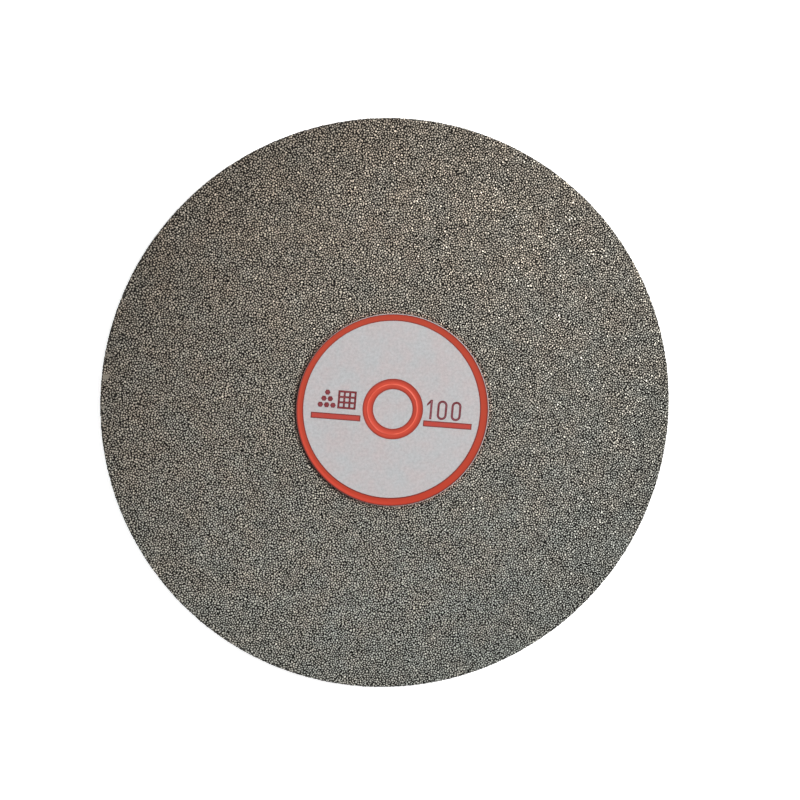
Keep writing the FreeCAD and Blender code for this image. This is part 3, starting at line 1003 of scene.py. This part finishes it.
def add_border_ring():
    """The band at the label's edge, uneven because the print isn't quite centred on the label."""
    inner = (BORDER_MIDDLE, BORDER_INNER)
    middle = (LABEL_MIDDLE[0] + BORDER_SLIP[0], LABEL_MIDDLE[1] + BORDER_SLIP[1])
    outer = (middle, LABEL_RADIUS - BORDER_TRIM)
    shape = ring_film(inner, outer, columns=480, step=0.25)
    add_ink("label_border_ring", shape, border_material())


def add_arbor_ring():
    """The ring round the arbor hole."""
    outer_radius = middle_and_radius("label_arbor_ring")[1]
    shape = ring_film(((0, 0), RING_INNER), ((0, 0), outer_radius), columns=240, step=0.07)
    add_ink("label_arbor_ring", shape, arbor_ring_material())


def add_underlines(ink):
    """One bar on each side of the hole."""
    bars = []
    for middle in (-BAR_ACROSS, BAR_ACROSS):
        left, low = middle - BAR_LENGTH / 2, -BAR_DROP - BAR_WIDTH / 2
        bars.append(patch_film(left, left + BAR_LENGTH, low, low + BAR_WIDTH))
    add_ink("label_underlines", joined(bars), ink)


def grain_film(x, y):
    """A six-sided grain."""
    rings = [[tilted(x, y)]]
    for reach in (GRAIN_SIZE / 2 - INK_EDGE, GRAIN_SIZE / 2):
        corners = [(x + reach * math.cos(a), y + reach * math.sin(a)) for a in np.arange(6) * math.tau / 6]
        rings.append([tilted(*corner) for corner in corners])
    return sheet_solid(rings, PAPER_FRONT - INK_BED, PAPER_FRONT + INK_RISE)


def add_grain_symbol(ink):
    """A heap of grains: rows of three, two and one."""
    parts = []
    step = (SYMBOL_HEIGHT - GRAIN_SIZE) / 2
    for row, count in enumerate((3, 2, 1)):
        for column in range(count):
            across = GRAINS_ACROSS + (column - (count - 1) / 2) * step
            parts.append(grain_film(across, SYMBOL_RISE + (row - 1) * step))
    add_ink("label_grain_symbol", joined(parts), ink)


def add_sieve_symbol(ink):
    """A square sieve: four bars across, with short pieces between them."""
    left, low = SIEVE_ACROSS - SYMBOL_HEIGHT / 2, SYMBOL_RISE - SYMBOL_HEIGHT / 2
    step = (SYMBOL_HEIGHT - SYMBOL_STROKE) / 3
    parts = []
    for line in range(4):
        over = line * step
        parts.append(patch_film(left, left + SYMBOL_HEIGHT, low + over, low + over + SYMBOL_STROKE))
        for row in range(3):
            bottom = low + row * step + SYMBOL_STROKE
            top = bottom + step - SYMBOL_STROKE
            parts.append(patch_film(left + over, left + over + SYMBOL_STROKE, bottom, top))
    add_ink("label_sieve_symbol", joined(parts), ink)


def nought(across, columns=48):
    """An upright nought with half-round ends."""
    spots = []
    straight = (NUMERAL_HEIGHT - NUMERAL_WIDTH) / 2
    for inset in np.linspace(0, NUMERAL_STROKE, 5):
        radius = NUMERAL_WIDTH / 2 - inset
        for a in (np.arange(columns) + 0.5) * math.tau / columns:
            up = radius * math.sin(a) + math.copysign(straight, math.sin(a))
            spots.append(tilted(across + radius * math.cos(a), NUMERAL_RISE + up))
    return film(5, columns, spots, True)


def add_number(ink):
    """A one with a short flag, and two noughts."""
    low, high = NUMERAL_RISE - NUMERAL_HEIGHT / 2, NUMERAL_RISE + NUMERAL_HEIGHT / 2
    left, right = ONE_ACROSS - NUMERAL_STROKE / 2, ONE_ACROSS + NUMERAL_STROKE / 2
    tip = ONE_ACROSS - 2 * NUMERAL_STROKE
    flag = [
        tilted(tip, high - 3 * NUMERAL_STROKE),
        tilted(left, high - 1.5 * NUMERAL_STROKE),
        tilted(tip, high - 2 * NUMERAL_STROKE),
        tilted(left, high),
    ]
    parts = [patch_film(left, right, low, high), film(2, 2, flag, False)]
    parts += [nought(across) for across in NOUGHTS_ACROSS]
    add_ink("label_grit_number", joined(parts), ink)


def add_printing():
    """Everything printed on the label, in its inks."""
    red = ink_material("red_ink", *RED_INK, size_mm=1.2)
    dark = ink_material("dark_red_ink", *DARK_RED_INK, size_mm=1.0)
    stamp = ink_material("stamp_ink", *STAMP_INK, size_mm=1.6)
    add_border_ring()
    add_arbor_ring()
    add_underlines(red)
    add_grain_symbol(dark)
    add_sieve_symbol(dark)
    add_number(stamp)


# ---------------------------------------------------------------- build

def use_plain_colours():
    """Colours go to the picture as they are lit, with no film look."""
    bpy.context.scene.view_settings.view_transform = "Standard"


def main():
    use_plain_colours()
    add_camera()
    add_world()
    add_area_light("key", (1.19, 0.56, 0.81), 37.0, 0.5, (1.0, 0.98, 0.95))
    add_area_light("fill", (-0.5, -0.75, 0.9), 3.0, 0.8, (0.95, 0.98, 1.0))
    add_floor()
    add_steel_blank()
    add_nickel_flash()
    add_nickel_bond()
    add_grit()
    add_glue()
    add_paper()
    add_printing()


main()
